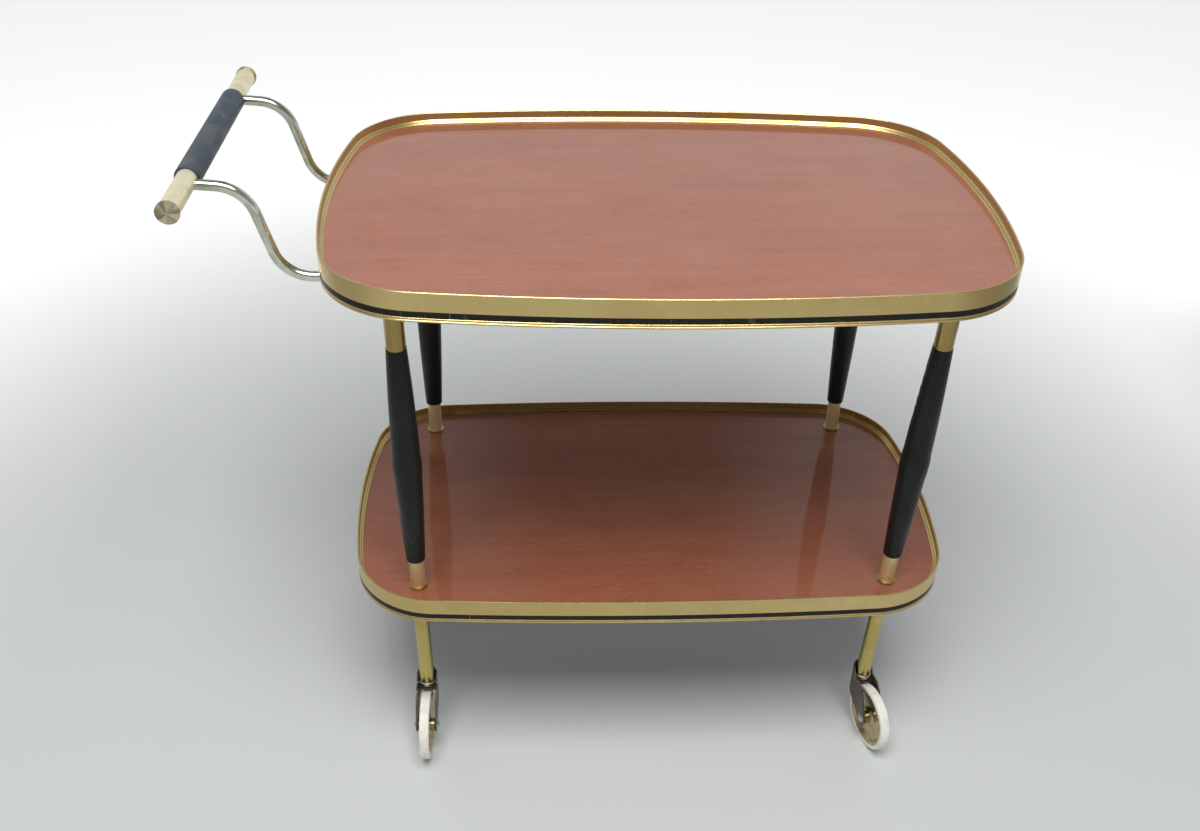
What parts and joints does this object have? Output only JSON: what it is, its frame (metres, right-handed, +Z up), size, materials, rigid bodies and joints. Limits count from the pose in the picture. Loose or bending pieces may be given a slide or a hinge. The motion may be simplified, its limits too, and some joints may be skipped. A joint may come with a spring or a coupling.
{
  "type": "bar cart on wheels",
  "caption": "Serving trolley with two rimmed barrel-shaped trays, slanted legs, swivel casters and a push handle.",
  "frame": {"origin": "on the floor, under the middle of the overall length and width", "axes": "+X along the trays, away from the push handle; +Y from the front side to the rear side; +Z up"},
  "size_m": [0.7711, 0.4498, 0.6735],
  "materials": {
    "laminate": "glossy reddish brown wood-look laminate",
    "gold_rim": "satin gold anodised",
    "black_insert": "smooth black plastic strip",
    "brass_tube": "polished, slightly dulled",
    "black_sleeve": "satin black",
    "steel": "zinc plated",
    "grip": "satin slate black",
    "cap_metal": "polished",
    "block_wood": "dark stained hardwood",
    "fork_metal": "dark bronze grey",
    "hub_metal": "olive brass lacquer",
    "tyre": "cream rubber"
  },
  "bodies": {
    "frame": {"top_board": "laminate", "top_rim": "gold_rim", "top_stripe": "black_insert", "lower_board": "laminate", "lower_rim": "gold_rim", "lower_stripe": "black_insert", "leg_socket_front_left": "brass_tube", "leg_socket_front_right": "brass_tube", "leg_socket_rear_left": "brass_tube", "leg_socket_rear_right": "brass_tube", "upper_tube_front_left": "brass_tube", "upper_tube_front_right": "brass_tube", "upper_tube_rear_left": "brass_tube", "upper_tube_rear_right": "brass_tube", "sleeve_front_left": "black_sleeve", "sleeve_front_right": "black_sleeve", "sleeve_rear_left": "black_sleeve", "sleeve_rear_right": "black_sleeve", "lower_tube_front_left": "brass_tube", "lower_tube_front_right": "brass_tube", "lower_tube_rear_left": "brass_tube", "lower_tube_rear_right": "brass_tube", "leg_stud_front_left": "steel", "leg_stud_front_right": "steel", "leg_stud_rear_left": "steel", "leg_stud_rear_right": "steel", "upper_washers": "brass_tube", "lower_washers": "brass_tube", "socket_screws": "steel", "set_screws": "steel", "block_screws": "steel", "handle_arm_front": "brass_tube", "handle_arm_rear": "brass_tube", "handle_bar": "brass_tube", "handle_grip": "grip", "end_cap_front": "cap_metal", "end_cap_rear": "cap_metal", "handle_block_front": "block_wood", "handle_block_rear": "block_wood", "caster_plug_front_left": "steel", "caster_plug_front_right": "steel", "caster_plug_rear_left": "steel", "caster_plug_rear_right": "steel"},
    "swivel_front_left": {"fork_front_left": "fork_metal", "axle_front_left": "steel"},
    "wheel_front_left": {"hub_front_left": "hub_metal", "tyre_front_left": "tyre"},
    "swivel_front_right": {"fork_front_right": "fork_metal", "axle_front_right": "steel"},
    "wheel_front_right": {"hub_front_right": "hub_metal", "tyre_front_right": "tyre"},
    "swivel_rear_left": {"fork_rear_left": "fork_metal", "axle_rear_left": "steel"},
    "wheel_rear_left": {"hub_rear_left": "hub_metal", "tyre_rear_left": "tyre"},
    "swivel_rear_right": {"fork_rear_right": "fork_metal", "axle_rear_right": "steel"},
    "wheel_rear_right": {"hub_rear_right": "hub_metal", "tyre_rear_right": "tyre"}
  },
  "joints": [
    {"name": "swivel_turn_front_left", "type": "hinge", "parent": "frame", "child": "swivel_front_left", "pos_m": [-0.19266, -0.13642, 0.08], "axis": [0, 0, 1], "continuous": true},
    {"name": "wheel_spin_front_left", "type": "hinge", "parent": "swivel_front_left", "child": "wheel_front_left", "pos_m": [-0.19316, -0.16541, 0.0375], "axis": [0.9998, -0.0175, 0], "continuous": true},
    {"name": "swivel_turn_front_right", "type": "hinge", "parent": "frame", "child": "swivel_front_right", "pos_m": [0.30286, -0.13642, 0.08], "axis": [0, 0, 1], "continuous": true},
    {"name": "wheel_spin_front_right", "type": "hinge", "parent": "swivel_front_right", "child": "wheel_front_right", "pos_m": [0.31036, -0.16443, 0.0375], "axis": [0.9659, 0.2588, 0], "continuous": true},
    {"name": "swivel_turn_rear_left", "type": "hinge", "parent": "frame", "child": "swivel_rear_left", "pos_m": [-0.19266, 0.13642, 0.08], "axis": [0, 0, 1], "continuous": true},
    {"name": "wheel_spin_rear_left", "type": "hinge", "parent": "swivel_rear_left", "child": "wheel_rear_left", "pos_m": [-0.20929, 0.11266, 0.0375], "axis": [0.8192, -0.5736, 0], "continuous": true},
    {"name": "swivel_turn_rear_right", "type": "hinge", "parent": "frame", "child": "swivel_rear_right", "pos_m": [0.30286, 0.13642, 0.08], "axis": [0, 0, 1], "continuous": true},
    {"name": "wheel_spin_rear_right", "type": "hinge", "parent": "swivel_rear_right", "child": "wheel_rear_right", "pos_m": [0.32935, 0.12462, 0.0375], "axis": [0.4067, 0.9135, 0], "continuous": true}
  ]
}
